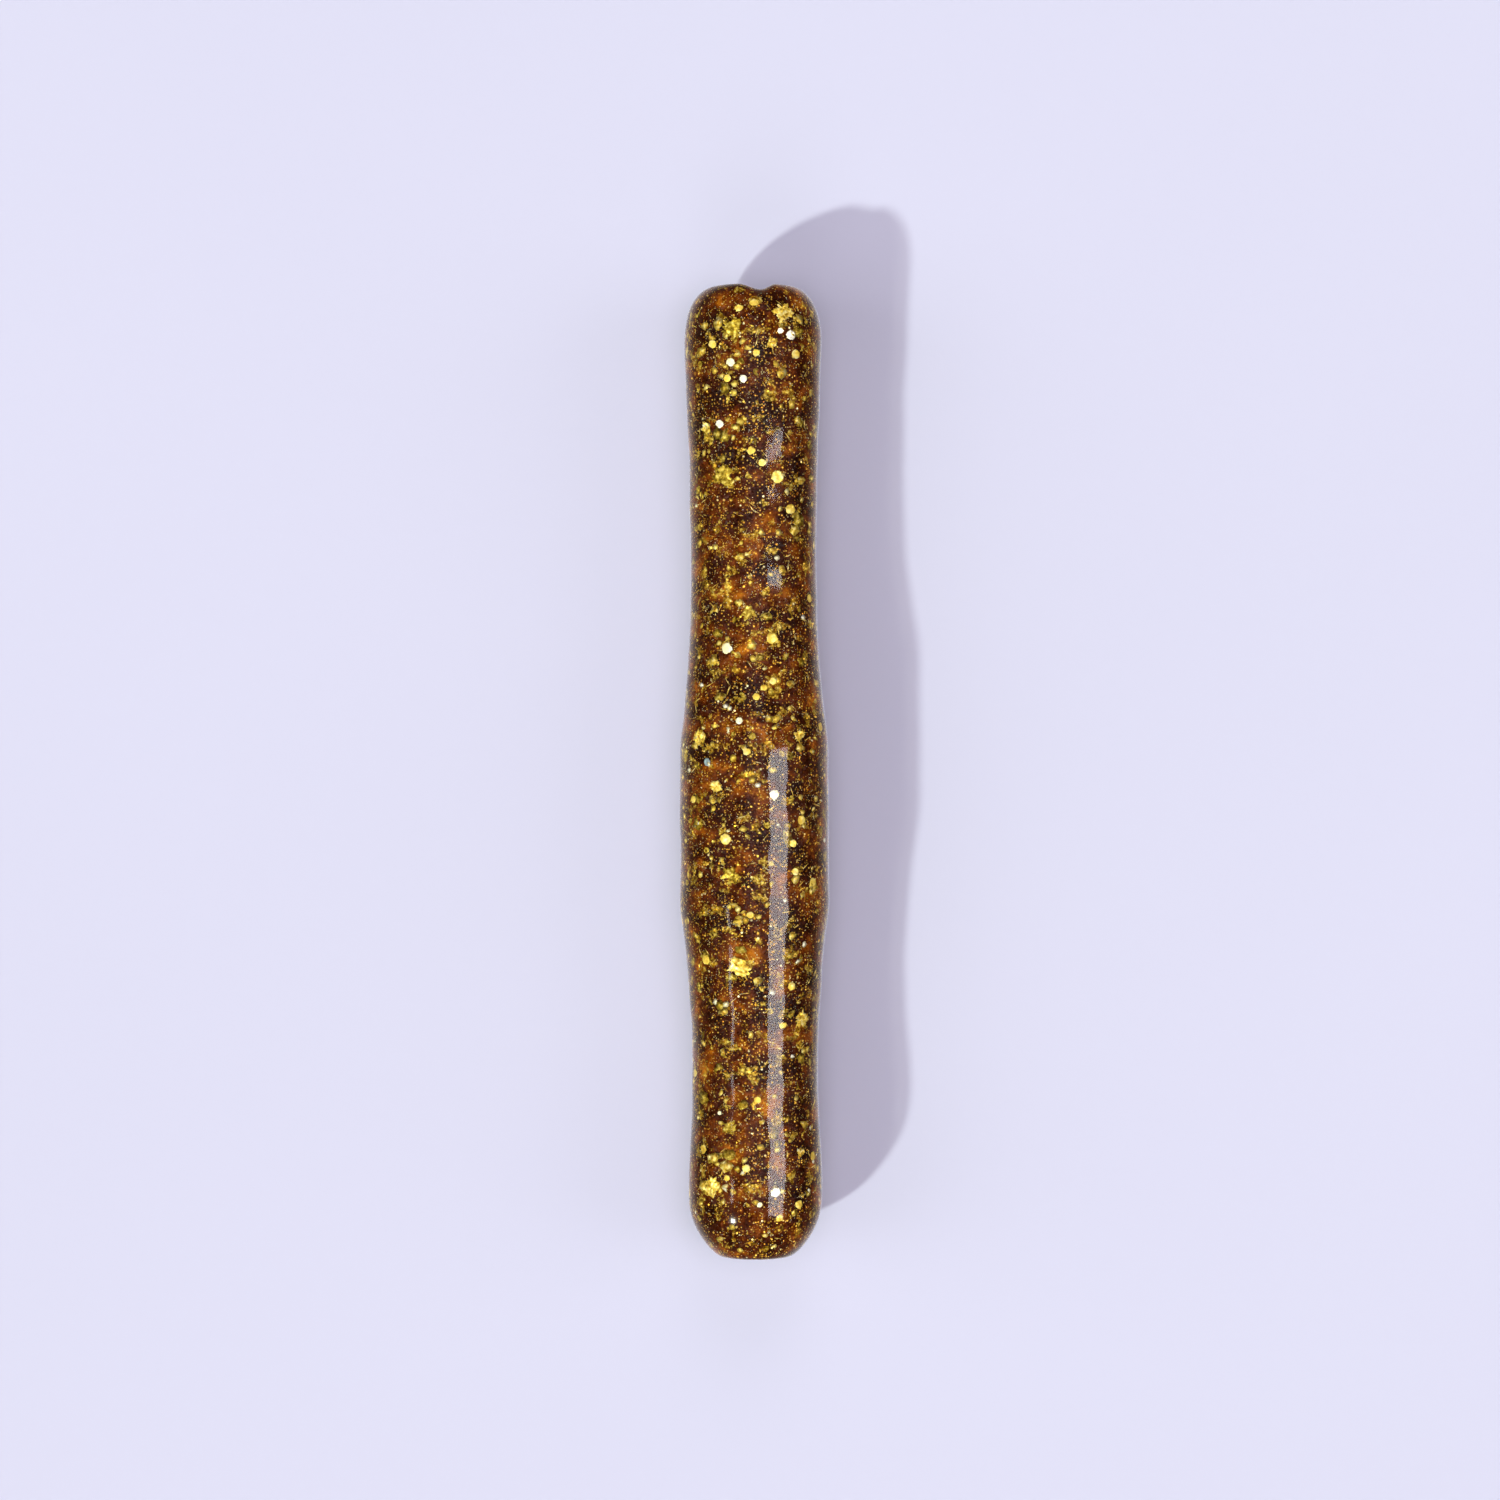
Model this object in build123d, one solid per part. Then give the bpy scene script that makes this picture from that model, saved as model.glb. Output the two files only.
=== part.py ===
from build123d import *
import math
import os
import random

# Gold sample vial: a hand-shaped clear glass tube, packed with gold in amber gel, and stoppered at
# one end. It lies on its side on the ground plane: its axis runs along Y, the mouth is towards +Y,
# and the ground point under the middle of its length is the origin. Millimetres throughout.

# ---------------------------------------------------------------- driving dimensions
LENGTH = 106.7                  # base to lip
BARREL_R = 8.2                  # true cylinder in the middle
BARREL_FROM, BARREL_TO = 39.0, 55.6
BASE_FLAT_R = 3.6               # flat of the closed end
HEAD_R, FOOT_R, WAIST_R = 7.53, 7.37, 6.93
LIP_FLAT_R = 4.4                # where the lip starts to round over
WALL = 1.0                      # glass

BORE_R = 3.2                    # mouth
COLLAR_WALL = 0.9               # short glass tube turned inwards round the mouth
COLLAR_LENGTH = 5.3             # lip to the collar's inner end
NOTCH_DEPTH = 0.65              # pouring notch worn across the lip
NOTCH_R = 5.0
NOTCH_X = 0.9                   # the notch is a little off the axis

PLUG_CLEARANCE = 0.06           # radial, plug in bore
PLUG_LENGTH = 3.6
PLUG_RECESS = 1.5               # lip to the plug's face
POST_R, POST_HEIGHT = 1.2, 0.8  # what is gripped to pull the plug
SEAL_SECTION_R = 0.5
SEAL_CLEARANCE = 0.05           # radial, seal in bore
GROOVE_WIDTH = 1.1

FLAT_DEPTH = 0.2                # narrow flat under the barrel, which keeps the vial from rolling
AXIS_Z = BARREL_R - FLAT_DEPTH
FILL_R_MARGIN = 0.2             # gold stays this far inside the glass

# stations along the axis from the base, and the outside radius there
FOOT_STATIONS = [(0.0, BASE_FLAT_R), (0.7, 4.85), (2.0, 5.92), (4.2, 7.0), (6.6, FOOT_R)]
LOWER_STATIONS = [(11.0, 7.25), (15.5, 7.03), (22.5, WAIST_R), (28.3, 7.2), (33.0, 7.56), (35.9, 7.92)]
UPPER_STATIONS = [(59.1, 7.82), (63.0, 7.46), (67.7, 7.1), (77.0, WAIST_R), (91.0, 7.2)]
HEAD_STATIONS = [(98.8, HEAD_R), (103.2, 7.3), (105.4, 6.4), (LENGTH, LIP_FLAT_R)]
BARREL_STATIONS = [(BARREL_FROM, BARREL_R), (BARREL_TO, BARREL_R)]


# ---------------------------------------------------------------- helpers
def along(station):
    """Distance from the base to the Y coordinate."""
    return station - LENGTH / 2


def place(shape):
    """Lift a shape made round the Y axis onto the vial's own axis."""
    return Pos(0, 0, AXIS_Z) * shape


def inset_points(stations, inset):
    """The outline's points, drawn inside the skin by the inset."""
    low, high = inset, LENGTH - inset
    squeeze = (high - low) / LENGTH
    return [Vector(radius - inset, along(low + s * squeeze)) for s, radius in stations]


def body_of_revolution(inset):
    """The vial's outside, or its inside when it is drawn in by the wall."""
    lower = inset_points(FOOT_STATIONS + LOWER_STATIONS + BARREL_STATIONS[:1], inset)
    upper = inset_points(BARREL_STATIONS[1:] + UPPER_STATIONS + HEAD_STATIONS, inset)
    start, end = Vector(0, lower[0].Y), Vector(0, upper[-1].Y)
    edges = [
        Line(start, lower[0]),
        Spline(lower, tangents=[(1, 0), (0, 1)], tangent_scalars=[1, 1]),
        Line(lower[-1], upper[0]),
        Spline(upper, tangents=[(0, 1), (-1, 0)], tangent_scalars=[1, 1]),
        Line(upper[-1], end),
        Line(end, start),
    ]
    return revolve(make_face(Wire(edges)), Axis.Y)


def cylinder_along(radius, from_station, to_station):
    """A cylinder on the vial's axis between two stations."""
    length = to_station - from_station
    middle = along((from_station + to_station) / 2)
    return Pos(0, middle, 0) * Rot(90, 0, 0) * Cylinder(radius, length)


def inside_radius(station):
    """The radius inside the glass at a station, straight between the outline's points."""
    stations = FOOT_STATIONS + LOWER_STATIONS + BARREL_STATIONS + UPPER_STATIONS + HEAD_STATIONS
    points = inset_points(stations, WALL)
    for low, high in zip(points, points[1:]):
        share = (along(station) - low.Y) / (high.Y - low.Y)
        if 0 <= share <= 1:
            return low.X + (high.X - low.X) * share
    raise ValueError(f"station {station} is outside the glass")


# ---------------------------------------------------------------- glass and stopper
def glass_body():
    """Closed flat base, waist, barrel, waist, and a head with a notched lip and a short collar."""
    shell = body_of_revolution(0) - body_of_revolution(WALL)
    collar = cylinder_along(BORE_R + COLLAR_WALL, LENGTH - COLLAR_LENGTH, LENGTH - WALL / 2)
    bore = cylinder_along(BORE_R, LENGTH - COLLAR_LENGTH - 1, LENGTH + 1)
    notch_y = along(LENGTH) - NOTCH_DEPTH + NOTCH_R
    notch = Pos(NOTCH_X, notch_y, 0) * Cylinder(NOTCH_R, 4 * BARREL_R)
    under = Pos(0, 0, -AXIS_Z - BARREL_R) * Box(4 * BARREL_R, 2 * LENGTH, 2 * BARREL_R)
    return shell + collar - bore - notch - under


def mouth_plug():
    """Short clear plug with a groove for the seal and a post to pull it by."""
    radius = BORE_R - PLUG_CLEARANCE
    face = LENGTH - PLUG_RECESS
    plug = cylinder_along(radius, face - PLUG_LENGTH, face)
    plug = chamfer(plug.edges().filter_by(GeomType.CIRCLE), 0.2)
    middle = face - PLUG_LENGTH / 2
    groove_floor = BORE_R - SEAL_CLEARANCE - 2 * SEAL_SECTION_R
    cut = cylinder_along(radius + 1, middle - GROOVE_WIDTH / 2, middle + GROOVE_WIDTH / 2)
    cut -= cylinder_along(groove_floor, middle - GROOVE_WIDTH, middle + GROOVE_WIDTH)
    post = cylinder_along(POST_R, face - 0.1, face + POST_HEIGHT)
    post = fillet(post.edges().group_by(Axis.Y)[-1], 0.3)
    return plug - cut + post


def plug_seal():
    """Soft ring in the plug's groove."""
    middle = LENGTH - PLUG_RECESS - PLUG_LENGTH / 2
    ring_r = BORE_R - SEAL_CLEARANCE - SEAL_SECTION_R
    return Pos(0, along(middle), 0) * Rot(90, 0, 0) * Torus(ring_r, SEAL_SECTION_R)


# ---------------------------------------------------------------- gold
class Fill:
    """Places flakes in the fill without letting two of them meet."""

    def __init__(self, seed):
        self.random = random.Random(seed)
        self.taken = []

    def outline(self, size, corners, raggedness):
        """A closed ragged polygon about the given width."""
        points = []
        for i in range(corners):
            angle = math.tau * (i + self.random.uniform(-0.25, 0.25)) / corners
            radius = size / 2 * self.random.uniform(1 - raggedness, 1)
            points.append(Vector(radius * math.cos(angle), radius * math.sin(angle)))
        return points

    def is_free(self, point, reach):
        """Has no flake been placed within reach of this point?"""
        return all((point - other).length > reach + other_reach for other, other_reach in self.taken)

    def flake(self, station, angle, size, thick, depth=0.0, tilt=(0, 0), corners=8, ragged=0.25):
        """One flake, facing outwards at an angle round the axis from straight up, or None."""
        half = size / 2
        room = min(inside_radius(station - half), inside_radius(station + half)) - FILL_R_MARGIN - depth
        lean = math.sin(math.radians(max(abs(tilt[0]), abs(tilt[1]))))
        out = math.sqrt(max(room**2 - half**2, 0)) - thick - half * lean
        turn = Rot(0, angle, 0)
        centre = turn * Pos(0, 0, out)
        where = Vector(centre.position.X, along(station), centre.position.Z)
        reach = half + thick / 2
        if not self.is_free(where, reach):
            return None
        self.taken.append((where, reach))
        face = make_face(Wire.make_polygon(self.outline(size, corners, ragged)))
        plate = extrude(face, thick)
        spin = self.random.uniform(0, 360)
        return Pos(0, along(station), 0) * centre * Rot(tilt[0], tilt[1], 0) * Rot(0, 0, spin) * plate

    def scatter(self, count, sizes, thick, depths, lean):
        """Many flakes, evenly thrown over the length and round the axis."""
        flakes = []
        first, last = SCATTER_FROM, SCATTER_TO
        while len(flakes) < count:
            station = self.random.uniform(first, last)
            angle = self.random.uniform(-180, 180)
            size = self.random.uniform(*sizes)
            depth = self.random.uniform(*depths)
            tilt = [self.random.uniform(-lean, lean) for _ in range(2)]
            flake = self.flake(station, angle, size, thick, depth, tilt)
            if flake is not None:
                flakes.append(flake)
        return flakes


SCATTER_FROM, SCATTER_TO = 3.0, LENGTH - COLLAR_LENGTH - 1.5

# Pieces that stand out one by one: station from the base, angle round the axis from straight up
# towards +X, and width
LEAVES = [
    (103.2, 30, 2.3), (101.6, -20, 2.2), (100.0, 18, 1.5), (91.0, -53, 1.6), (85.7, -32, 2.6),
    (70.6, -6, 1.8), (57.1, -54, 1.8), (57.3, 42, 1.5), (51.8, -34, 1.6), (55.2, -76, 1.9),
    (42.0, -21, 2.4), (32.2, -14, 2.6), (26.3, 53, 2.1), (14.6, -26, 1.7), (8.1, -46, 2.6),
    (11.8, 49, 1.2), (90.5, 168, 2.6), (72.0, 140, 2.3), (47.0, -150, 2.6), (28.0, 172, 2.4),
]
SPANGLES = [
    (104.3, 1, 0.8), (103.7, -13, 0.8), (98.9, 43, 1.1), (98.9, 3, 0.8), (100.0, -40, 1.0),
    (96.2, -25, 0.9), (88.3, -2, 0.9), (87.0, 9, 0.9), (85.5, 25, 1.4), (82.0, 40, 1.2),
    (67.9, 18, 1.3), (62.5, 9, 0.75), (63.2, 18, 0.85), (61.5, 2, 0.85), (48.1, 43, 1.1),
    (46.1, -25, 1.3), (50.4, -60, 0.9), (45.6, 34, 0.9), (42.5, 36, 0.9), (41.3, 57, 1.1),
    (58.2, 74, 1.0), (17.7, 2, 0.8), (10.3, -9, 0.9), (9.2, -28, 0.7), (6.2, 45, 1.0),
    (11.2, 68, 1.1), (37.9, -4, 0.8),
]
PALE_SPANGLES = [
    (101.3, 26, 0.7), (100.9, 37, 1.1), (97.9, -21, 1.0), (96.1, -9, 0.9), (91.3, -34, 1.0),
    (66.8, -27, 1.3), (58.9, -13, 0.8), (50.9, 17, 1.1), (7.7, 19, 1.15), (6.4, 4, 0.6),
    (16.2, -38, 0.5), (80.0, 150, 1.0), (55.0, 120, 1.0), (35.0, -130, 1.0),
]
GREY_FLAKE = (54.5, -43, 1.1)


def gold(fill):
    """Every larger piece of metal in the vial: node name to a list of separate solids."""
    pieces = {}
    for i, (station, angle, size) in enumerate(LEAVES, start=1):
        leaf = fill.flake(station, angle, size, 0.12, tilt=(6, -5), corners=13, ragged=0.4)
        pieces[f"leaf_{i}"] = [leaf]
    pieces["grey_flake"] = [fill.flake(*GREY_FLAKE, 0.1, tilt=(10, 10), ragged=0.3)]
    round_ones = [fill.flake(*at, 0.1, tilt=(4, 4), corners=10, ragged=0.12) for at in SPANGLES]
    pale_ones = [fill.flake(*at, 0.1, tilt=(4, -4), corners=9, ragged=0.15) for at in PALE_SPANGLES]
    pieces["round_spangles"] = round_ones + fill.scatter(16, (0.8, 1.2), 0.1, (0, 0.5), 15)
    pieces["pale_spangles"] = pale_ones
    pieces["coarse_flakes"] = fill.scatter(40, (0.6, 0.85), 0.09, (0, 0.6), 25)
    return pieces


def amber_gel(flakes):
    """What fills the glass between the gold, up to the collar and the plug."""
    inside = body_of_revolution(WALL)
    collar = cylinder_along(BORE_R + COLLAR_WALL, LENGTH - COLLAR_LENGTH, LENGTH)
    return inside - collar - flakes


# ---------------------------------------------------------------- write the pieces
def write(name, shape):
    """One STEP file for each sub-part."""
    export_step(place(shape), f"parts/{name}.step")


def main():
    os.makedirs("parts", exist_ok=True)
    write("glass_body", glass_body())
    write("mouth_plug", mouth_plug())
    write("plug_seal", plug_seal())
    pieces = gold(Fill(seed=11))
    for name, flakes in pieces.items():
        write(name, Compound(flakes))
    write("amber_gel", amber_gel([flake for flakes in pieces.values() for flake in flakes]))


main()
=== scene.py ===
import math

import bpy
import numpy as np
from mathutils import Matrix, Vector
from mathutils.bvhtree import BVHTree


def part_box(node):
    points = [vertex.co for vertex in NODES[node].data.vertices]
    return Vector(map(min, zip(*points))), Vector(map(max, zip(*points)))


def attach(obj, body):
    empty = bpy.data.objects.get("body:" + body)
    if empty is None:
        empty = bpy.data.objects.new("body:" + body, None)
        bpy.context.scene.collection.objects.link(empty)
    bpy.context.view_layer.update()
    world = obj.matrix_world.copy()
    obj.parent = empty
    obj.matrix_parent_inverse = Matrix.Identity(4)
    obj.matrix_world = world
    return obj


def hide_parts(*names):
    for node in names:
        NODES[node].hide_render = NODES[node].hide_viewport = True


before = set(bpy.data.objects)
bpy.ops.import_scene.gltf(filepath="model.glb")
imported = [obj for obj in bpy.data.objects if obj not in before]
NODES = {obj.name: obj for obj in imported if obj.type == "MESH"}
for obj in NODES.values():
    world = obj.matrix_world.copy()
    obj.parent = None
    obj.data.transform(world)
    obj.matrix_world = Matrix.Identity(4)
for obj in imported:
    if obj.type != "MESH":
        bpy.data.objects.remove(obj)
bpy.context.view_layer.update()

# Gold sample vial, lying on its side: axis along Y, mouth towards +Y, table at z = 0. Metres.

MM = 0.001
TURN = 2 * math.pi

VIAL, STOPPER = "vial", "stopper"

BASE_Y, LIP_Y = (corner[1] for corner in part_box("glass_body"))
PLUG_LOW, PLUG_HIGH = (Vector(corner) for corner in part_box("mouth_plug"))
AXIS = Vector((0, 0, (PLUG_LOW.z + PLUG_HIGH.z) / 2))
CENTRE = np.array(AXIS)                         # the same point, for arrays of places

WALL = 1.0 * MM
END_WALL = 0.1 * MM                             # the fill comes this near to the rim and the base
END_REACH = 6 * MM                              # how far the ends' own shaping reaches along the vial
COLLAR_R, COLLAR_LENGTH = 3.5 * MM, 5.3 * MM    # round the mouth, a little thinner than the CAD's

# the pouring notch: its middle, its depth, how far it runs to each side, where it starts and fades
NOTCH_X, NOTCH_DEPTH = 0.9 * MM, 0.65 * MM
NOTCH_LEFT, NOTCH_RIGHT = 2.6 * MM, 1.7 * MM
NOTCH_START, NOTCH_FADE = 3.0 * MM, 2.5 * MM

ON_AXIS = 1e-7                                  # a smaller radius than this is a point on the axis

random = np.random.default_rng(20)


# ---------------------------------------------------------------- meshes
def placed(name, data):
    """A new object of that data, in the scene."""
    made = bpy.data.objects.new(name, data)
    bpy.context.scene.collection.objects.link(made)
    return made


def new_piece(name, verts, faces, material, body=VIAL):
    """A smooth object of the given vertices and faces, which rides on a body."""
    mesh = bpy.data.meshes.new(name)
    mesh.from_pydata([tuple(v) for v in verts], [], [tuple(f) for f in faces])
    mesh.update()
    mesh.polygons.foreach_set("use_smooth", [True] * len(mesh.polygons))
    mesh.materials.append(material)
    piece = placed(name, mesh)
    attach(piece, body)
    return piece


def triangles_piece(name, verts, tris, material):
    """An object of very many flat triangles, by array, which rides on the vial."""
    mesh = bpy.data.meshes.new(name)
    mesh.vertices.add(len(verts))
    mesh.vertices.foreach_set("co", np.asarray(verts, np.float32).ravel())
    mesh.loops.add(3 * len(tris))
    mesh.loops.foreach_set("vertex_index", np.asarray(tris, np.int32).ravel())
    mesh.polygons.add(len(tris))
    mesh.polygons.foreach_set("loop_start", np.arange(0, 3 * len(tris), 3, dtype=np.int32))
    mesh.update(calc_edges=True)
    mesh.materials.append(material)
    piece = placed(name, mesh)
    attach(piece, VIAL)
    return piece


def lathe(outline, turns, shape=None):
    """Vertices and faces of (radius, y) points turned round the axis, then shaped.

    An end on the axis is closed.
    """
    verts, rings, faces = [], [], []
    for radius, y in outline:
        if radius < ON_AXIS:
            rings.append([len(verts)])
            verts.append((0.0, y, 0.0))
            continue
        rings.append(list(range(len(verts), len(verts) + turns)))
        for i in range(turns):
            angle = TURN * i / turns
            verts.append((radius * math.sin(angle), y, radius * math.cos(angle)))
    for low, high in zip(rings, rings[1:]):
        for i in range(turns):
            j = (i + 1) % turns
            if len(low) == 1:
                faces.append((low[0], high[j], high[i]))
            elif len(high) == 1:
                faces.append((low[i], low[j], high[0]))
            else:
                faces.append((low[i], low[j], high[j], high[i]))
    verts = np.array(verts)
    if shape is not None:
        verts = shape(verts)
    return verts + CENTRE, faces


# ---------------------------------------------------------------- the glass, as the CAD has it
def glass_walls(count=420, angles=12, spread=0.9):
    """(y, outside radius) along the vial, read from the CAD glass by rays.

    The radius is the widest of several round the upper half, so the notch doesn't count.
    """
    tree = BVHTree.FromObject(NODES["glass_body"], bpy.context.evaluated_depsgraph_get())
    away = 20 * MM
    rows = []
    for i in range(1, count):
        share = (1 - math.cos(math.pi * i / count)) / 2
        y = BASE_Y + (LIP_Y - BASE_Y) * share
        outside = []
        for k in range(angles):
            # the upper half is clear of the flat under the barrel
            angle = math.pi * ((k + 0.5) / angles - 0.5) * spread
            out = Vector((math.sin(angle), 0, math.cos(angle)))
            hit = tree.ray_cast(AXIS + Vector((0, y, 0)) + out * away, -out)
            if hit[0] is not None:
                outside.append(away - hit[3])
        if outside:
            rows.append((y, max(outside)))
    return np.array(rows)


def even_steps(points, distance):
    """Points along a polyline, the given distance apart."""
    points = np.array(points)
    lengths = np.r_[0, np.cumsum(np.linalg.norm(np.diff(points, axis=0), axis=1))]
    at = np.linspace(0, lengths[-1], max(2, int(lengths[-1] / distance)))
    return np.stack([np.interp(at, lengths, points[:, i]) for i in range(2)], 1)


def smoothed(values, width):
    """A running mean that keeps the ends."""
    kernel = np.ones(width) / width
    padded = np.pad(values, width // 2, mode="edge")
    return np.convolve(padded, kernel, "valid")[: len(values)]


WALLS = glass_walls()
SIDE_YS, SIDE_RADII = WALLS[:, 0], smoothed(WALLS[:, 1], 5)


def from_ends(y, reach):
    """0 at the base and the lip, rising to 1 over that reach."""
    return np.clip(np.minimum(y - BASE_Y, LIP_Y - y) / reach, 0, 1)


def outer_outline():
    """The outside of the glass from the middle of the base to the rim of the lip, as (radius, y)."""
    side = [(radius, y) for y, radius in zip(SIDE_YS, SIDE_RADII)]
    return [(0.0, BASE_Y), (side[0][0] * 0.85, BASE_Y)] + side


# ---------------------------------------------------------------- materials
def material(name):
    """A new material and its Principled shader."""
    made = bpy.data.materials.new(name)
    made.use_nodes = True
    return made, made.node_tree.nodes["Principled BSDF"]


def node(mat, kind, inputs=None, **settings):
    """A new node with its settings, and its inputs by name."""
    made = mat.node_tree.nodes.new(kind)
    for key, value in settings.items():
        setattr(made, key, value)
    for key, value in (inputs or {}).items():
        if isinstance(value, bpy.types.NodeSocket):
            mat.node_tree.links.new(value, made.inputs[key])
        else:
            made.inputs[key].default_value = value
    return made


def link(mat, output, socket):
    """Join an output to a socket."""
    mat.node_tree.links.new(output, socket)


def place(mat, shift):
    """The object's own coordinates, shifted."""
    own = node(mat, "ShaderNodeTexCoord").outputs["Object"]
    return node(mat, "ShaderNodeMapping", {"Vector": own, "Location": shift}).outputs["Vector"]


def noise(mat, scale, detail=3.0, roughness=0.55, seed=0.0):
    """Noise over the object's own coordinates, in features per metre."""
    inputs = {"Vector": place(mat, (seed, seed * 1.7, -seed)), "Scale": scale, "Detail": detail,
              "Roughness": roughness}
    return node(mat, "ShaderNodeTexNoise", inputs).outputs["Fac"]


def ramp(mat, factor, stops):
    """Colours by position along a factor."""
    made = node(mat, "ShaderNodeValToRGB", {"Fac": factor})
    elements = made.color_ramp.elements
    while len(elements) < len(stops):
        elements.new(0.5)
    for element, (position, colour) in zip(elements, stops):
        element.position = position
        element.color = (*colour, 1.0)
    return made.outputs["Color"]


def cells(mat, scale, seed=0.0):
    """Cells over the object's own coordinates: distance from each middle, and a random colour."""
    at = place(mat, (seed, -seed, seed * 1.3))
    made = node(mat, "ShaderNodeTexVoronoi", {"Scale": scale, "Vector": at})
    return made.outputs["Distance"], made.outputs["Color"]


def channels(mat, colour):
    """The red, green and blue of a colour."""
    apart = node(mat, "ShaderNodeSeparateColor", {"Color": colour})
    return apart.outputs["Red"], apart.outputs["Green"], apart.outputs["Blue"]


def maths(mat, operation, *values):
    """One operation on numbers, by its name."""
    made = node(mat, "ShaderNodeMath", dict(enumerate(values)), operation=operation)
    return made.outputs["Value"]


def vectors(mat, operation, *values):
    """One operation on vectors, by its name."""
    made = node(mat, "ShaderNodeVectorMath", dict(enumerate(values)), operation=operation)
    return made.outputs["Vector"]


def between(mat, value, low, high):
    """How far a value is from low towards high, held within 0 and 1."""
    made = node(mat, "ShaderNodeMapRange", {"Value": value, "From Min": low, "From Max": high})
    return made.outputs["Result"]


def blended(mat, factor, below, above):
    """One colour laid over another, by a factor."""
    made = node(mat, "ShaderNodeMix", {"Factor": factor}, data_type="RGBA")
    for value, socket in ((below, made.inputs[6]), (above, made.inputs[7])):
        link(mat, value, socket)
    return made.outputs[2]


def mixed(mat, factor, first, second):
    """One shader, which gives way to another by a factor."""
    return node(mat, "ShaderNodeMixShader", {0: factor, 1: first, 2: second}).outputs["Shader"]


def facet_normal(mat, colour, lean):
    """The surface normal, tipped differently in each cell, by its colour."""
    surface = node(mat, "ShaderNodeNewGeometry").outputs["Normal"]
    away = vectors(mat, "SUBTRACT", colour, (0.5, 0.5, 0.5))
    tipped = vectors(mat, "MULTIPLY_ADD", away, (lean, lean, lean), surface)
    return vectors(mat, "NORMALIZE", tipped)


FACETS = 4200.0                                 # facets to a metre, on every metal


def metal(name, dark, mid, bright, metallic=0.75, roughness=0.33, scale=900.0, lean=0.9):
    """Gold in one tone, mottled between three colours, and crumpled into fine facets."""
    mat, shader = material(name)
    tone = noise(mat, scale, seed=len(name) * 0.013)
    link(mat, ramp(mat, tone, [(0.3, dark), (0.5, mid), (0.72, bright)]), shader.inputs["Base Color"])
    shader.inputs["Metallic"].default_value = metallic
    rough = node(mat, "ShaderNodeMapRange", {
        "Value": noise(mat, scale * 2.3), "To Min": roughness * 0.7, "To Max": roughness * 1.4})
    link(mat, rough.outputs["Result"], shader.inputs["Roughness"])
    _, colour = cells(mat, FACETS)
    link(mat, facet_normal(mat, colour, lean), shader.inputs["Normal"])
    shader.inputs["Specular IOR Level"].default_value = 0.1
    return mat


# a lamp passes nearly whole up to one slant of the glass, and dimmed from the other, of 0 to 1
SQUARE_ON, GRAZING = 0.47, 0.51
SQUARE_ON_PASSED, GRAZING_PASSED = 0.98, (0.42, 0.4, 0.38)


def clear_glass(name, ior=1.5, tint=(1.0, 1.0, 1.0), roughness=0.09):
    """Glass that bends what is seen through it and lets the lamps through, less so near its edges."""
    mat, shader = material(name)
    shader.inputs["Base Color"].default_value = (*tint, 1.0)
    shader.inputs["Transmission Weight"].default_value = 1.0
    shader.inputs["IOR"].default_value = ior
    shader.inputs["Roughness"].default_value = roughness
    facing = node(mat, "ShaderNodeLayerWeight", {"Blend": 0.5}).outputs["Facing"]
    clear = tuple(SQUARE_ON_PASSED * c for c in tint)
    passed = ramp(mat, facing, [(SQUARE_ON, clear), (GRAZING, GRAZING_PASSED)])
    through = node(mat, "ShaderNodeBsdfTransparent", {"Color": passed}).outputs["BSDF"]
    to_lamp = node(mat, "ShaderNodeLightPath").outputs["Is Shadow Ray"]
    surface = mixed(mat, to_lamp, shader.outputs["BSDF"], through)
    link(mat, surface, mat.node_tree.nodes["Material Output"].inputs["Surface"])
    return mat


GLASS = clear_glass("clear_glass")
PLUG = clear_glass("plug_acrylic", ior=1.49, tint=(0.93, 0.92, 0.88), roughness=0.05)

SPANGLE_GOLD = metal("gold_spangle", (0.55, 0.32, 0.02), (0.84, 0.62, 0.09), (0.95, 0.88, 0.4),
                     metallic=0.35, lean=0.4)
LEAF_YELLOW = metal("leaf_yellow", (0.2, 0.07, 0.003), (0.84, 0.58, 0.06), (0.97, 0.9, 0.4),
                    metallic=0.35, scale=2600.0)
LEAF_OLIVE = metal("leaf_olive", (0.06, 0.024, 0.001), (0.4, 0.26, 0.014), (0.92, 0.76, 0.16),
                   metallic=0.35, scale=2600.0)
# pale gold, near white: partly the pale alloy of some flakes, partly painted glint standing in for
# flakes that blow out under the lamps
PALE_GOLD_AND_GLINT = metal("gold_pale", (1.0, 0.9, 0.4), (1.0, 0.96, 0.62), (1.0, 1.0, 0.86),
                  metallic=0.35, roughness=0.25, lean=0.2)
GOLD_YELLOW = metal("gold_yellow", (0.8, 0.48, 0.04), (1.0, 0.74, 0.14), (1.0, 0.92, 0.5),
                    metallic=0.45, roughness=0.28, lean=0.3)
GOLD_ORANGE = metal("gold_orange", (0.2, 0.045, 0.0015), (0.55, 0.205, 0.008), (0.95, 0.52, 0.045),
                    metallic=0.5, lean=0.3)
GOLD_DEEP = metal("gold_deep", (0.035, 0.005, 0.0002), (0.1, 0.019, 0.0006), (0.26, 0.075, 0.003),
                  metallic=0.5, lean=0.3)
GREY_METAL = metal("grey_metal", (0.1, 0.16, 0.16), (0.35, 0.46, 0.47), (0.75, 0.85, 0.85), lean=0.3)


def seal_rubber():
    """Translucent silicone, faintly mottled."""
    mat, shader = material("seal_silicone")
    tone = noise(mat, 1500.0)
    silicone = ramp(mat, tone, [(0.3, (0.5, 0.47, 0.42)), (0.7, (0.68, 0.66, 0.6))])
    link(mat, silicone, shader.inputs["Base Color"])
    shader.inputs["Roughness"].default_value = 0.45
    shader.inputs["Subsurface Weight"].default_value = 0.2
    shader.inputs["Subsurface Radius"].default_value = (MM, MM, MM)
    return mat


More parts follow.
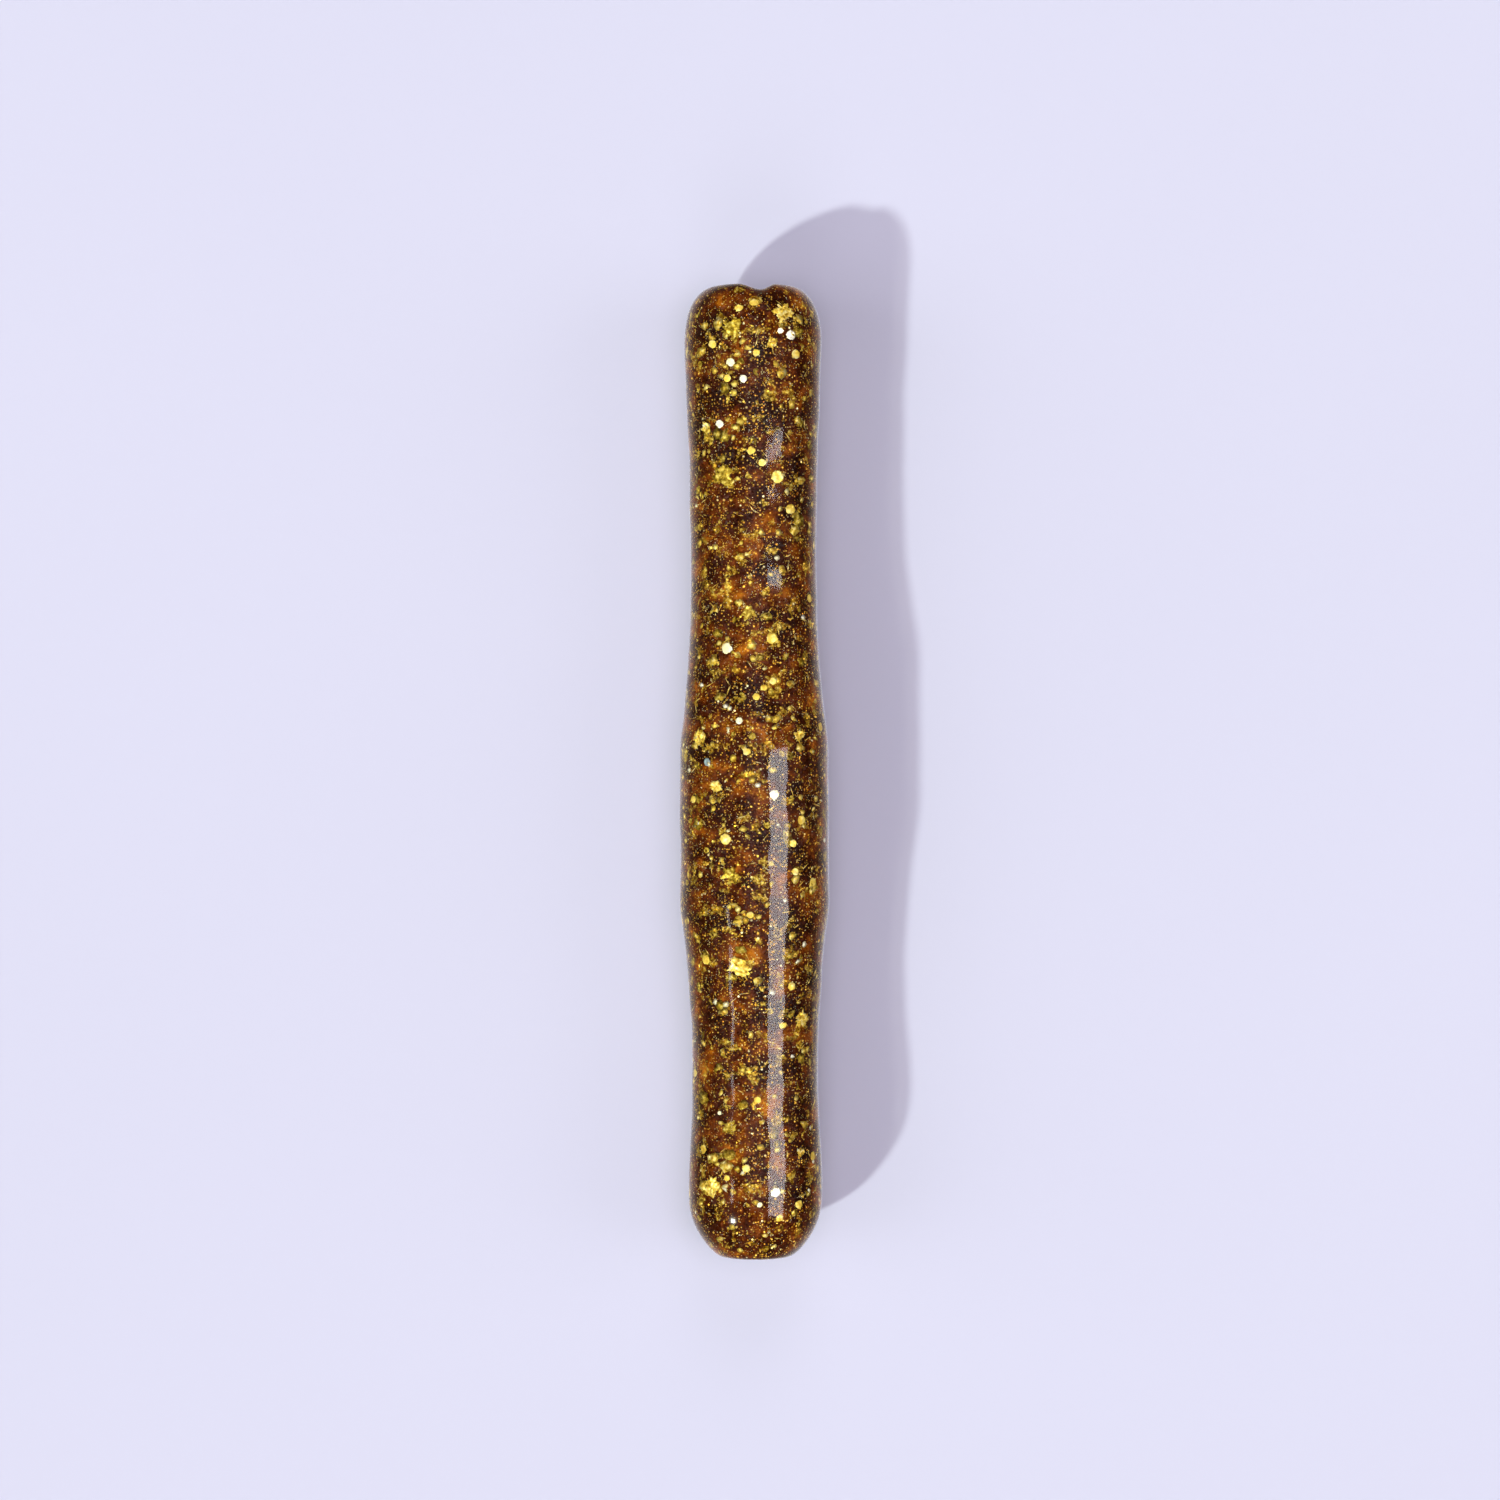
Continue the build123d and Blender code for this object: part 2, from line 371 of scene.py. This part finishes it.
def gel():
    """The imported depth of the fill: dark amber, with sunken leaf and fine gold dust all through it."""
    mat, shader = material("amber_fill")
    depth = noise(mat, 330.0, detail=4.0, roughness=0.6)
    colour = ramp(mat, depth, [(0.38, (0.016, 0.0022, 0.0001)), (0.5, (0.052, 0.008, 0.0003)),
                               (0.6, (0.16, 0.034, 0.001)), (0.7, (0.4, 0.12, 0.004))])
    leaf = between(mat, noise(mat, 620.0, detail=5.0, roughness=0.62, seed=0.7), 0.57, 0.62)
    leaf_colour = ramp(mat, noise(mat, 2600.0, detail=3.0, roughness=0.7, seed=0.2), [
        (0.35, (0.06, 0.016, 0.0006)), (0.5, (0.5, 0.28, 0.012)), (0.65, (0.95, 0.78, 0.14))])
    colour = blended(mat, maths(mat, "MULTIPLY", leaf, 0.8), colour, leaf_colour)
    shine = maths(mat, "MULTIPLY", leaf, 0.6)
    dusts = [cells(mat, 4600.0, 0.3), cells(mat, 3000.0, 0.9)]
    for (distance, own), share in zip(dusts, (0.3, 0.1)):
        lot, tone, _ = channels(mat, own)
        chosen = maths(mat, "LESS_THAN", lot, share)
        dot = maths(mat, "MULTIPLY", chosen, between(mat, distance, 0.42, 0.3))
        dust = ramp(mat, tone, [(0.1, (0.25, 0.08, 0.004)), (0.45, (0.6, 0.3, 0.02)),
                                (0.85, (1.0, 0.68, 0.1)), (0.97, (1.0, 0.92, 0.5))])
        colour = blended(mat, dot, colour, dust)
        shine = maths(mat, "MAXIMUM", shine, maths(mat, "MULTIPLY", dot, 0.75))
    link(mat, colour, shader.inputs["Base Color"])
    link(mat, shine, shader.inputs["Metallic"])
    finest = dusts[0][1]
    link(mat, facet_normal(mat, finest, 1.1), shader.inputs["Normal"])
    shader.inputs["Roughness"].default_value = 0.36
    shader.inputs["Specular IOR Level"].default_value = 0.05
    return mat


GEL = gel()
SEAL = seal_rubber()


# ---------------------------------------------------------------- glass skin
# slow swells: lobes round the axis, pitch along it in radians to a metre, height in mm
WAVES = [(0, 620.0, 0.016), (1, 410.0, 0.02), (2, -560.0, 0.014), (3, 880.0, 0.008), (5, 1500.0, 0.004),
         (2, 1150.0, 0.006), (6, 700.0, 0.014), (9, -1300.0, 0.006)]
WAVE_PHASES = random.uniform(0, TURN, len(WAVES))


def notch_dip(x, y):
    """How far the pouring notch lowers a place near the lip."""
    reach = np.where(x < NOTCH_X, NOTCH_LEFT, NOTCH_RIGHT)
    dip = np.cos(np.clip((x - NOTCH_X) / reach, -1, 1) * math.pi / 2) ** 2
    near = np.clip((y - (LIP_Y - NOTCH_START)) / NOTCH_FADE, 0, 1)
    return NOTCH_DEPTH * dip * near


def swells(verts, waves, phases):
    """The sum of some waves at places round the axis."""
    x, y, z = verts.T
    angle = np.arctan2(x, z)
    return sum(height * MM * np.cos(lobes * angle + pitch * y + phase)
               for (lobes, pitch, height), phase in zip(waves, phases))


def wavy(verts):
    """Hand-worked glass: slow swells, the pouring notch in the lip, and nothing below the table."""
    x, y, z = verts.T
    swell = swells(verts, WAVES, WAVE_PHASES) * from_ends(y, END_REACH)
    grow = 1 + swell / np.maximum(np.hypot(x, z), ON_AXIS)
    return np.stack([x * grow, y - notch_dip(x, y), np.maximum(z * grow, -AXIS.z)], 1)


def glass_skin():
    """The outside of the vial and the wall of its mouth, down to the collar's inner end."""
    outline = even_steps(outer_outline(), 0.2 * MM)
    lip_radius = outline[-1][0]
    beside_plug, below_plug, edge = 0.06 * MM, 0.15 * MM, 0.35 * MM
    bore = PLUG_HIGH.x + beside_plug
    bottom = PLUG_LOW.y - below_plug
    lip = [(lip_radius - t * (lip_radius - bore - edge), LIP_Y) for t in np.linspace(0, 1, 5)]
    rounded = [(bore + edge * (1 - math.sin(a)), LIP_Y - edge * (1 - math.cos(a)))
               for a in np.linspace(0.2, math.pi / 2, 6)]
    wall = [(bore, y) for y in np.linspace(LIP_Y - 1.2 * edge, bottom, 20)]
    floor = [(bore * t, bottom) for t in (0.95, 0.6, 0.3, 0.0)]
    points = [tuple(p) for p in outline] + lip + rounded + wall + floor
    verts, faces = lathe(points, 192, wavy)
    skin = new_piece("vial_glass", verts, faces, GLASS)
    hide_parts("glass_body")


# ---------------------------------------------------------------- fill
def fill_side():
    """The inside of the glass along the side, as (radius, y)."""
    wall = END_WALL + (WALL - END_WALL) * from_ends(SIDE_YS, END_REACH)
    keep = (SIDE_YS > BASE_Y + END_WALL) & (SIDE_YS < LIP_Y - END_WALL)
    return [(radius, y) for y, radius in zip(SIDE_YS[keep], (SIDE_RADII - wall)[keep])]


FILL_SIDE = fill_side()
FILL_RADII, FILL_YS = np.array(FILL_SIDE).T

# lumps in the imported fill, given as the waves in the glass are
LUMPS = [(9, 2300.0, 0.1), (13, -3100.0, 0.08), (4, 1100.0, 0.07)]
LUMP_PHASES = (0, 1, 2)


def lumpy(verts):
    """Packed fill: small lumps, and the notch in the lip."""
    x, y, z = verts.T
    grow = 1 + swells(verts, LUMPS, LUMP_PHASES) / np.maximum(np.hypot(x, z), MM)
    return np.stack([x * grow, y - notch_dip(x, y), z * grow], 1)


def fill_core():
    """The body of the fill, just inside the flakes."""
    sink, end_sink, end_reach, off_collar = 0.36 * MM, 0.12 * MM, 2 * MM, 0.12 * MM
    first, last = BASE_Y + END_WALL + end_sink, LIP_Y - END_WALL - end_sink
    side = [(radius - sink * max(from_ends(y, end_reach), 0.2), y)
            for radius, y in FILL_SIDE if first < y < last]
    low, high = side[0][1], side[-1][1]
    inner, under_collar = COLLAR_R + off_collar, LIP_Y - COLLAR_LENGTH - 0.1 * MM
    outline = [(0.0, low), (side[0][0] * 0.9, low)] + side + [
        (COLLAR_R + 0.6 * MM, high), (inner, high), (inner, under_collar), (0.0, under_collar)]
    points = [tuple(p) for p in even_steps(outline, 0.3 * MM)]
    points[0] = (0.0, points[0][1])
    points[-1] = (0.0, points[-1][1])
    verts, faces = lathe(points, 160, lumpy)
    core = new_piece("amber_fill", verts, faces, GEL)
    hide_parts("amber_gel")


# plane waves that gather the gold into drifts
DRIFT_LENGTHS = np.linspace(2.2, 7.0, 7)[:, None] * MM
DRIFTS = random.normal(0, 1, (len(DRIFT_LENGTHS), 3)) * TURN / DRIFT_LENGTHS
DRIFT_PHASES = random.uniform(0, TURN, len(DRIFT_LENGTHS))
THROWN_TO_KEPT = 3                              # spots thrown for each one that is kept


def gathered(points, count):
    """That many of the points, most of them where the gold has drifted together."""
    contrast, strays = 1.5, 0.12
    crowd = np.cos(points @ DRIFTS.T + DRIFT_PHASES).sum(1)
    weight = 1 / (1 + np.exp(-contrast * crowd)) + strays
    return random.choice(len(points), count, replace=False, p=weight / weight.sum())


def surface_spots(wanted, depth_range):
    """Random places just inside the glass, gathered in drifts: points and their outward normals."""
    base, top = FILL_YS[0], FILL_YS[-1]
    outline = [(0.0, base), (FILL_RADII[0] * 0.9, base)] + FILL_SIDE + [
        (COLLAR_R + 0.5 * MM, top), (COLLAR_R, top)]
    path = even_steps(outline, 0.1 * MM)
    middle = (path[1:] + path[:-1]) / 2
    stride = path[1:] - path[:-1]
    length = np.linalg.norm(stride, axis=1)
    weight = middle[:, 0] * length
    count = THROWN_TO_KEPT * wanted
    pick = random.choice(len(middle), count, p=weight / weight.sum())
    along = stride[pick] / length[pick][:, None]
    normal = np.stack([along[:, 1], -along[:, 0]], 1)
    at = path[:-1][pick] + stride[pick] * random.random(count)[:, None]
    at -= normal * random.uniform(*depth_range, count)[:, None] * MM
    angle = random.uniform(0, TURN, count)
    turn = np.stack([np.sin(angle), np.cos(angle)], 1)
    points = np.stack([at[:, 0] * turn[:, 0], at[:, 1], at[:, 0] * turn[:, 1]], 1)
    points[:, 1] -= notch_dip(points[:, 0], points[:, 1])
    points += CENTRE
    normals = np.stack([normal[:, 0] * turn[:, 0], normal[:, 1], normal[:, 0] * turn[:, 1]], 1)
    kept = gathered(points, wanted)
    return points[kept], normals[kept]


def kept_inside(verts):
    """The places, each brought back inside the glass where it stood out of it."""
    x, y, z = (verts - CENTRE).reshape(-1, 3).T
    y = np.clip(y, BASE_Y + END_WALL, LIP_Y - END_WALL - notch_dip(x, y))
    shrink = np.minimum(1, np.interp(y, FILL_YS, FILL_RADII) / np.maximum(np.hypot(x, z), ON_AXIS))
    return (np.stack([x * shrink, y, z * shrink], 1) + CENTRE).reshape(verts.shape)


def leaned(normals, degrees):
    """The normals, each tipped at random by up to about that much."""
    tipped = normals + np.tan(np.radians(degrees)) * random.normal(0, 0.6, normals.shape)
    return tipped / np.linalg.norm(tipped, axis=1)[:, None]


def tangents(normals):
    """Two unit vectors across each normal, turned at random."""
    helper = random.normal(0, 1, normals.shape)
    one = np.cross(normals, helper)
    one /= np.linalg.norm(one, axis=1)[:, None]
    return one, np.cross(normals, one)


def chips(name, count, sizes, depths, lean, mat, corners=6, thick=0.09, rag=0.35, slim=1.0):
    """Very many small closed chips, each a ragged rim with a low peak on both sides."""
    jitter, warp = 0.3, 0.12
    points, normals = surface_spots(count, depths)
    normals = leaned(normals, lean)
    one, two = tangents(normals)
    size = random.uniform(*sizes, count) * MM / 2
    stretch = slim * random.uniform(0.7, 1.0, count)
    turned = np.arange(corners) + random.uniform(-jitter, jitter, (count, corners))
    angles = TURN * turned / corners
    reach = size[:, None] * random.uniform(1 - rag, 1, (count, corners))
    rim = (points[:, None] + one[:, None] * (reach * np.cos(angles))[..., None]
           + two[:, None] * (reach * stretch[:, None] * np.sin(angles))[..., None]
           + normals[:, None] * (size[:, None] * random.normal(0, warp, (count, corners)))[..., None])
    peak = (normals * (size * thick)[:, None])[:, None]
    verts = kept_inside(np.concatenate([rim, points[:, None] + peak, points[:, None] - peak], 1))
    ring = np.arange(corners)
    after = (ring + 1) % corners
    over = np.stack([ring, after, np.full(corners, corners)], 1)
    under = np.stack([after, ring, np.full(corners, corners + 1)], 1)
    tris = np.concatenate([over, under])
    every = (np.arange(count) * (corners + 2))[:, None, None] + tris[None]
    triangles_piece(name, verts.reshape(-1, 3), every.reshape(-1, 3), mat)


def islands(cad_node):
    """The separate flakes of a CAD node, each as its outer face's corners and outward normal."""
    mesh = cad_node.data
    places = np.array([v.co for v in mesh.vertices])
    _, same = np.unique(np.round(places / 1e-6).astype(np.int64), axis=0, return_inverse=True)
    same = same.ravel()
    parent = list(range(same.max() + 1))

    def root(i):
        while parent[i] != i:
            parent[i] = parent[parent[i]]
            i = parent[i]
        return i

    for polygon in mesh.polygons:
        first = root(same[polygon.vertices[0]])
        for v in polygon.vertices[1:]:
            parent[root(same[v])] = first
    groups = {}
    for v, unique in enumerate(same):
        groups.setdefault(root(unique), {})[unique] = places[v]
    for members in groups.values():
        corners = np.array(list(members.values()))
        middle = corners.mean(0)
        normal = np.linalg.svd(corners - middle)[2][2]
        outward = middle - np.array((AXIS.x, middle[1], AXIS.z))
        if normal @ outward < 0:
            normal = -normal
        above = (corners - middle) @ normal > 0
        yield corners[above], normal


def under_glass(points, depth):
    """The places, each set at that depth under the glass, straight out from the axis."""
    x, y, z = (points - CENTRE).T
    scale = (np.interp(y, FILL_YS, FILL_RADII) - depth) / np.maximum(np.hypot(x, z), MM)
    return np.stack([x * scale, y, z * scale], 1) + CENTRE


def ragged(flat, rag, cuts=3):
    """A flat outline, its edges cut shorter and its corners pushed in and out at random."""
    rim = []
    for here, there in zip(flat, np.roll(flat, -1, 0)):
        for k in range(cuts):
            share = k / cuts
            wobble = 1 + random.normal(0, rag)
            rim.append((here * (1 - share) + there * share) * wobble)
    return np.array(rim)


def sheet_triangles(around, rings):
    """A closed sheet's triangles: rings round a middle on top, the same below, and the edge."""
    top = []
    for i in range(around):
        j = (i + 1) % around
        top.append((0, 1 + i, 1 + j))
        for ring in range(rings - 1):
            a, b = 1 + ring * around, 1 + (ring + 1) * around
            top += [(a + i, b + i, b + j), (a + i, b + j, a + j)]
    half = 1 + rings * around
    under = [(c + half, b + half, a + half) for a, b, c in top]
    edge, rim = [], 1 + (rings - 1) * around
    for i in range(around):
        here, there = rim + i, rim + (i + 1) % around
        edge += [(here, here + half, there + half), (here, there + half, there)]
    return top + edge + under


def crumpled(corners, normal, thick, crumple, depth, rag, rings=4):
    """A closed thin flake on the corners' outline, crumpled, at a depth under the glass."""
    middle = corners.mean(0)
    one = corners[0] - middle
    one -= normal * (one @ normal)
    one /= np.linalg.norm(one)
    two = np.cross(normal, one)
    flat = np.stack([(corners - middle) @ one, (corners - middle) @ two], 1)
    flat = flat[np.argsort(np.arctan2(flat[:, 1], flat[:, 0]))]
    size = np.linalg.norm(flat, axis=1).max()
    rim = ragged(flat, rag)
    waves = [(random.normal(0, 1, 2) * k / size, random.uniform(0, TURN), 1 / k)
             for k in (1.6, 2.4, 3.6, 5.2)]
    sheet = [np.zeros(2)]
    for ring in range(1, rings + 1):
        sheet += list(rim * (ring / rings) ** 0.8)
    sheet = np.array(sheet)
    height = sum(a * np.cos(sheet @ w + p) for w, p, a in waves) * crumple * MM
    height -= height.max()
    sheet_points = middle + sheet[:, :1] * one + sheet[:, 1:] * two
    top = under_glass(sheet_points, depth - height)
    bottom = under_glass(sheet_points, depth - height + thick)
    verts = kept_inside(np.concatenate([top, bottom]))
    return verts, sheet_triangles(len(rim), rings)


def flakes_of(node_name, mat, crumple, depth, thick=0.05, rag=0.06):
    """Crumpled flakes in place of a CAD node's flat ones, on the same outlines."""
    verts, tris, start = [], [], 0
    for corners, normal in islands(NODES[node_name]):
        made, faces = crumpled(corners, normal, thick * MM, crumple, depth * MM, rag)
        verts.append(made)
        tris += [(a + start, b + start, c + start) for a, b, c in faces]
        start += len(made)
    piece = triangles_piece(f"{node_name}_gold", np.concatenate(verts), tris, mat)
    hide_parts(node_name)


DULL_LEAVES = (2, 5, 6, 10, 11, 14, 17, 19)


def fill():
    """All that the vial holds, sizes and depths in mm."""
    fill_core()
    for number in range(1, sum(name.startswith("leaf_") for name in NODES) + 1):
        tone = LEAF_OLIVE if number in DULL_LEAVES else LEAF_YELLOW
        flakes_of(f"leaf_{number}", tone, 0.09, 0.05, rag=0.15)
    flakes_of("round_spangles", SPANGLE_GOLD, 0.02, 0.06)
    # the pale spangles wear the near-white gold: partly pale alloy, partly painted glint
    flakes_of("pale_spangles", PALE_GOLD_AND_GLINT, 0.02, 0.04)
    flakes_of("coarse_flakes", LEAF_OLIVE, 0.03, 0.12)
    flakes_of("grey_flake", GREY_METAL, 0.03, 0.05)
    chips("leaf_scraps_olive", 150, (0.9, 1.9), (0.15, 0.4), 18, LEAF_OLIVE,
          corners=11, thick=0.04)
    chips("leaf_scraps_yellow", 170, (0.8, 1.7), (0.1, 0.35), 18, LEAF_YELLOW,
          corners=11, thick=0.04)
    chips("medium_flakes_yellow", 210, (0.6, 0.95), (0.05, 0.3), 20, SPANGLE_GOLD,
          corners=9, rag=0.2)
    chips("medium_flakes_olive", 180, (0.6, 0.95), (0.1, 0.35), 24, LEAF_YELLOW,
          corners=9, rag=0.2)
    # pale flakes: partly pale gold, partly painted glint
    chips("pale_flakes_and_glints", 70, (0.45, 0.85), (0.05, 0.2), 22, PALE_GOLD_AND_GLINT,
          corners=8, rag=0.3)
    chips("shavings", 900, (0.7, 1.5), (0.1, 0.35), 30, GOLD_YELLOW,
          corners=6, slim=0.09)
    chips("fine_flakes_deep", 3500, (0.2, 0.4), (0.25, 0.45), 35, GOLD_DEEP)
    chips("fine_flakes_orange", 3600, (0.14, 0.28), (0.12, 0.4), 35, GOLD_ORANGE)
    chips("fine_flakes_yellow", 9000, (0.08, 0.2), (0.05, 0.35), 35, GOLD_YELLOW)
    # the finest pale chips are scattered painted glints as much as pale gold
    chips("fine_flakes_pale_and_glints", 6000, (0.06, 0.15), (0.02, 0.3), 35, PALE_GOLD_AND_GLINT)


# ---------------------------------------------------------------- stopper
SEAL_LOW, SEAL_HIGH = (Vector(corner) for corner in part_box("plug_seal"))
SEAL_Y = (SEAL_HIGH.y + SEAL_LOW.y) / 2
SEAL_SECTION = (SEAL_HIGH.y - SEAL_LOW.y) / 2


def plug():
    """The plug, with a post to grip it by and a groove for the seal."""
    radius = PLUG_HIGH.x
    groove = SEAL_SECTION + 0.05 * MM
    floor = SEAL_HIGH.x - 2 * SEAL_SECTION
    post_radius, post_height = 1.2 * MM, 0.8 * MM
    face = PLUG_HIGH.y - post_height
    bevel, root, rounding = 0.2 * MM, 0.15 * MM, 0.3 * MM
    round_post = [(post_radius - rounding * (1 - math.sin(a)),
                   PLUG_HIGH.y - rounding * (1 - math.cos(a)))
                  for a in np.linspace(math.pi / 2, 0, 6)]
    points = [(0, PLUG_LOW.y), (radius - bevel, PLUG_LOW.y), (radius, PLUG_LOW.y + bevel),
              (radius, SEAL_Y - groove), (floor, SEAL_Y - groove), (floor, SEAL_Y + groove),
              (radius, SEAL_Y + groove), (radius, face - bevel), (radius - bevel, face),
              (post_radius + root, face), (post_radius, face + root)] + round_post
    points.append((0, PLUG_HIGH.y))
    # points close to each corner keep it sharp under smooth shading
    dense = []
    for (r0, y0), (r1, y1) in zip(points, points[1:]):
        dense += [(r0 + (r1 - r0) * t, y0 + (y1 - y0) * t) for t in (0.0, 0.04, 0.5, 0.96)]
    dense.append(points[-1])
    verts, faces = lathe(dense, 96)
    piece = new_piece("mouth_plug_clear", verts, faces, PLUG, STOPPER)
    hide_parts("mouth_plug")


def seal():
    """The O-ring in the plug's groove."""
    ring_radius = SEAL_HIGH.x - SEAL_SECTION
    verts, faces = [], []
    around, about = 96, 24
    for i in range(around):
        a = TURN * i / around
        for j in range(about):
            b = TURN * j / about
            r = ring_radius + SEAL_SECTION * math.cos(b)
            y = SEAL_Y + SEAL_SECTION * math.sin(b)
            verts.append((r * math.sin(a), y, AXIS.z + r * math.cos(a)))
            i2, j2 = (i + 1) % around, (j + 1) % about
            faces.append((i * about + j, i2 * about + j, i2 * about + j2, i * about + j2))
    piece = new_piece("plug_seal_ring", verts, faces, SEAL, STOPPER)
    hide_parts("plug_seal")


# ---------------------------------------------------------------- table, light and camera
FLOOR_SEEN = (0.785, 0.78, 0.935)               # the lit table's colour, for the world past its edge
BOX_AWAY = 0.6                                  # how far from the vial the soft boxes stand


def table():
    """A plain pale table top with the faintest unevenness, which the glass doesn't reflect."""
    mesh = bpy.data.meshes.new("table_top")
    half = 3.0
    corners = [(-half, -half, 0), (half, -half, 0), (half, half, 0), (-half, half, 0)]
    mesh.from_pydata(corners, [], [(0, 1, 2, 3)])
    mat, shader = material("table_paint")
    tone = noise(mat, 9.0, detail=2.0)
    paint = ramp(mat, tone, [(0.3, (0.655, 0.66, 0.815)), (0.7, (0.667, 0.672, 0.83))])
    link(mat, paint, shader.inputs["Base Color"])
    shader.inputs["Roughness"].default_value = 0.7
    shader.inputs["Specular IOR Level"].default_value = 0.1
    mesh.materials.append(mat)
    top = placed("table_top", mesh)
    top.visible_glossy = False


def sun(name, towards, floor_share, colour, spread, glossy=True):
    """A far lamp of that angular width, in degrees, by the brightness that it gives a white floor."""
    lamp = bpy.data.lights.new(name, "SUN")
    direction = Vector(towards).normalized()
    lamp.energy = floor_share * math.pi / direction.z
    lamp.color = colour
    lamp.angle = math.radians(spread)
    made = placed(name, lamp)
    made.rotation_euler = direction.to_track_quat("Z", "Y").to_euler()
    made.visible_glossy = glossy


def soft_box(name, radiance, low, high, near_end, far_end, colour):
    """A tall soft box beside the vial, seen only as a streak down the glass.

    It stands between two angles from overhead, and its ends are in shares of its distance.
    """
    low, high = math.radians(low), math.radians(high)
    angle = (low + high) / 2
    lamp = bpy.data.lights.new(name, "AREA")
    lamp.shape = "RECTANGLE"
    lamp.size = 2 * BOX_AWAY * math.tan((high - low) / 2)
    lamp.size_y = BOX_AWAY * (far_end - near_end)
    lamp.energy = radiance * math.pi * lamp.size * lamp.size_y
    lamp.color = colour
    made = placed(name, lamp)
    along = BOX_AWAY * (near_end + far_end) / 2
    made.location = (BOX_AWAY * math.sin(angle), along, AXIS.z + BOX_AWAY * math.cos(angle))
    made.rotation_euler = (0, angle, 0)
    made.visible_diffuse = False


def room():
    """A dark room, with the table's colour past its edge for the camera.

    For every other ray the room's lower half stands in for the table's reflection.
    """
    world = bpy.data.worlds.new("room")
    bpy.context.scene.world = world
    world.use_nodes = True
    nodes = world.node_tree.nodes
    backdrop = nodes["Background"]
    backdrop.inputs["Color"].default_value = (*FLOOR_SEEN, 1.0)
    direction = node(world, "ShaderNodeTexCoord").outputs["Generated"]
    upward = node(world, "ShaderNodeSeparateXYZ", {"Vector": direction}).outputs["Z"]
    shade = ramp(world, between(world, upward, -1.0, 0.0), [
        (0.0, FLOOR_SEEN), (0.15, (0.8, 0.73, 0.74)), (0.32, (0.64, 0.53, 0.48)),
        (0.55, (0.18, 0.13, 0.09)), (0.95, (0.012, 0.01, 0.008))])
    dim = node(world, "ShaderNodeBackground", {"Color": shade}).outputs["Background"]
    to_camera = node(world, "ShaderNodeLightPath").outputs["Is Camera Ray"]
    surface = mixed(world, to_camera, dim, backdrop.outputs["Background"])
    link(world, surface, nodes["World Output"].inputs["Surface"])


def lights():
    """A hard key from the lower left, soft light from all round, and a soft box on each side."""
    sun("key", (-0.93, -0.80, 1.0), 0.41, (0.93, 1.0, 0.88), 2.8)
    sun("overhead", (0.05, 0.0, 1.0), 0.35, (1.0, 0.93, 1.01), 40, glossy=False)
    sun("left_side", (-1.0, -0.3, 1.0), 0.07, (1.0, 0.95, 1.0), 40, glossy=False)
    sun("right_side", (0.8, -0.25, 1.0), 0.05, (1.0, 0.95, 1.0), 40, glossy=False)
    sun("left_low", (-1.0, 0.0, 0.55), 0.08, (1.0, 0.95, 0.97), 40, glossy=False)
    sun("right_low", (1.0, 0.0, 0.55), 0.08, (1.0, 0.95, 0.97), 40, glossy=False)
    sun("upper_end", (0.1, 1.3, 1.0), 0.073, (1.0, 0.95, 1.0), 30, glossy=False)
    sun("lower_end", (-0.1, -1.3, 1.0), 0.073, (1.0, 0.95, 1.0), 30, glossy=False)
    soft_box("right_box", 5.4, 23, 52, -0.55, 0.053, (1.0, 0.97, 1.0))
    soft_box("left_box", 3.5, -44, -39, -0.33, -0.12, (0.95, 0.97, 1.0))
    room()


def camera():
    """Straight above the vial, with the vial a little right of and below the picture's middle."""
    width = 165.45 * MM                         # what the picture covers at the axis
    across, along, distance = -0.45 * MM, 2.4 * MM, 420 * MM
    made = bpy.data.cameras.new("camera")
    made.lens = made.sensor_width * distance / width
    made.clip_start, made.clip_end = 0.01, 10
    view = placed("camera", made)
    view.location = (across, along, AXIS.z + distance)
    view.rotation_euler = (0, 0, math.radians(-0.18))
    bpy.context.scene.camera = view


bpy.context.scene.view_settings.view_transform = "Standard"
camera()
lights()
table()
glass_skin()
fill()
plug()
seal()
